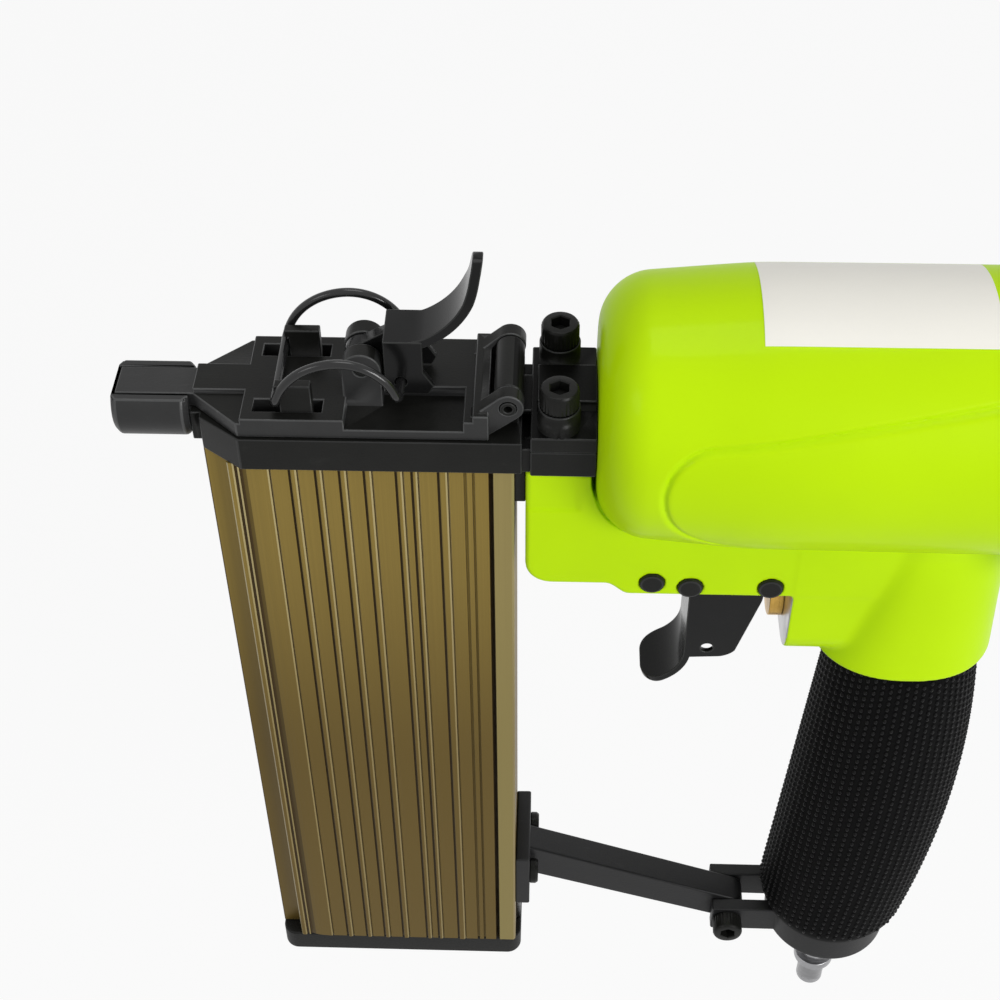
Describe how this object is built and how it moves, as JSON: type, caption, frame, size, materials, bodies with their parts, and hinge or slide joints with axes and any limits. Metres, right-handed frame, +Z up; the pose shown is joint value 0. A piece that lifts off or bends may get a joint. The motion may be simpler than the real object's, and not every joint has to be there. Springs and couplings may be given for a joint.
{
  "type": "pneumatic brad nailer",
  "caption": "Hand held pneumatic brad nailer with pistol grip, straight magazine under the nose, latched jam clearing door, finger trigger with air valve, turning exhaust cap and air plug",
  "frame": {"origin": "centre of the nose's front face on the drive axis, where the brad leaves", "axes": "+X along the drive axis from the nose to the rear cap, +Z up, the handle and magazine hang down"},
  "size_m": [0.2583, 0.064, 0.2759],
  "materials": {
    "green_paint": "painted, gloss",
    "black_steel": "black oxide",
    "bronze_anodised": "anodised, satin",
    "black_plastic": "matte",
    "black_aluminium": "anodised, satin",
    "black_rubber": "textured",
    "seal_rubber": "satin",
    "brass": "machined",
    "bare_aluminium": "machined",
    "bare_steel": "bright"
  },
  "bodies": {
    "tool_body": {"main_body": "green_paint", "grip_sleeve": "black_rubber", "trigger_pin": "black_steel", "spring_pin": "black_steel", "stop_pin": "black_steel", "trigger_spring": "bare_steel", "valve_body": "brass", "valve_plug": "brass", "valve_seal": "seal_rubber", "valve_spring": "bare_steel", "driver_guide": "black_steel", "guide_cover": "black_steel", "nose_screws": "black_steel", "nose_tip": "black_steel", "hinge_pin": "black_steel", "magazine_body": "bronze_anodised", "magazine_screws": "black_steel", "magazine_spacer": "black_plastic", "cylinder_sleeve": "bare_aluminium", "cylinder_collar": "bare_aluminium", "cylinder_seal": "seal_rubber", "bumper": "seal_rubber", "rear_cap": "green_paint", "cap_gasket": "seal_rubber", "cap_screws": "black_steel", "exhaust_screw": "black_steel", "head_valve_spring": "bare_steel", "handle_end_cap": "black_aluminium", "end_cap_seal": "seal_rubber", "end_cap_screws": "black_steel", "air_plug": "bare_steel", "magazine_bracket": "black_aluminium", "bracket_screws": "black_steel", "bracket_bolt": "black_steel"},
    "door": {"nose_door": "black_steel", "latch_pin": "black_steel"},
    "lever": {"latch_lever": "black_steel"},
    "bail": {"latch_bail": "black_steel"},
    "trigger_lever": {"trigger": "black_steel"},
    "stem": {"valve_stem": "bare_steel"},
    "drive": {"piston": "bare_aluminium", "piston_ring": "seal_rubber", "driver_blade": "bare_steel"},
    "head_seal": {"head_valve": "bare_aluminium", "head_valve_pad": "seal_rubber", "head_valve_ring": "seal_rubber"},
    "deflector": {"exhaust_deflector": "black_plastic"},
    "slide": {"magazine_slide": "bronze_anodised", "slide_end_cap": "black_plastic", "slide_screws": "black_steel", "magazine_catch": "bare_steel", "follower_spring": "bare_steel"},
    "pusher": {"follower": "bare_aluminium"}
  },
  "joints": [
    {"name": "latch_swing", "type": "hinge", "parent": "door", "child": "lever", "pos_m": [0.0555, 0, 0.0135], "axis": [0, -1, 0], "range_deg": [0, 115], "deforming": ["latch_bail"]},
    {"name": "door_swing", "type": "hinge", "parent": "tool_body", "child": "door", "pos_m": [0.0871, 0, 0.0089], "axis": [0, 1, 0], "range_deg": [0, 60]},
    {"name": "bail_swing", "type": "hinge", "parent": "lever", "child": "bail", "pos_m": [0.0639, 0, 0.0103], "axis": [0, -1, 0], "range_deg": [-97.2, 0]},
    {"name": "trigger_pull", "type": "hinge", "parent": "tool_body", "child": "trigger_lever", "pos_m": [0.1291, 0, -0.0429], "axis": [0, -1, 0], "range_deg": [0, 9], "stiffness_Nm_per_rad": 1, "springref_deg": -8.59, "deforming": ["trigger_spring"]},
    {"name": "stem_press", "type": "slide", "parent": "tool_body", "child": "stem", "axis": [1, 0, 0], "range_m": [0, 0.0029], "deforming": ["valve_spring"]},
    {"name": "drive_stroke", "type": "slide", "parent": "tool_body", "child": "drive", "axis": [-1, 0, 0], "range_m": [0, 0.078]},
    {"name": "head_lift", "type": "slide", "parent": "tool_body", "child": "head_seal", "axis": [1, 0, 0], "range_m": [0, 0.0045], "stiffness_N_per_m": 800, "springref_m": -0.004, "deforming": ["head_valve_spring"]},
    {"name": "deflector_turn", "type": "hinge", "parent": "tool_body", "child": "deflector", "pos_m": [0.2495, 0, 0], "axis": [1, 0, 0], "continuous": true},
    {"name": "slide_pull", "type": "slide", "parent": "tool_body", "child": "slide", "axis": [0, 0, -1], "range_m": [0, 0.11], "deforming": ["magazine_catch"]},
    {"name": "follower_feed", "type": "slide", "parent": "slide", "child": "pusher", "axis": [0, 0, -1], "range_m": [0, 0.1], "stiffness_N_per_m": 60, "springref_m": -0.05, "deforming": ["follower_spring"]}
  ],
  "couplings": [
    {"joint": "door_swing", "follows": "latch_swing", "ratio": 0.5217},
    {"joint": "bail_swing", "follows": "latch_swing", "ratio": -0.8452},
    {"joint": "stem_press", "follows": "trigger_pull", "m_per_rad": 0.0175}
  ]
}
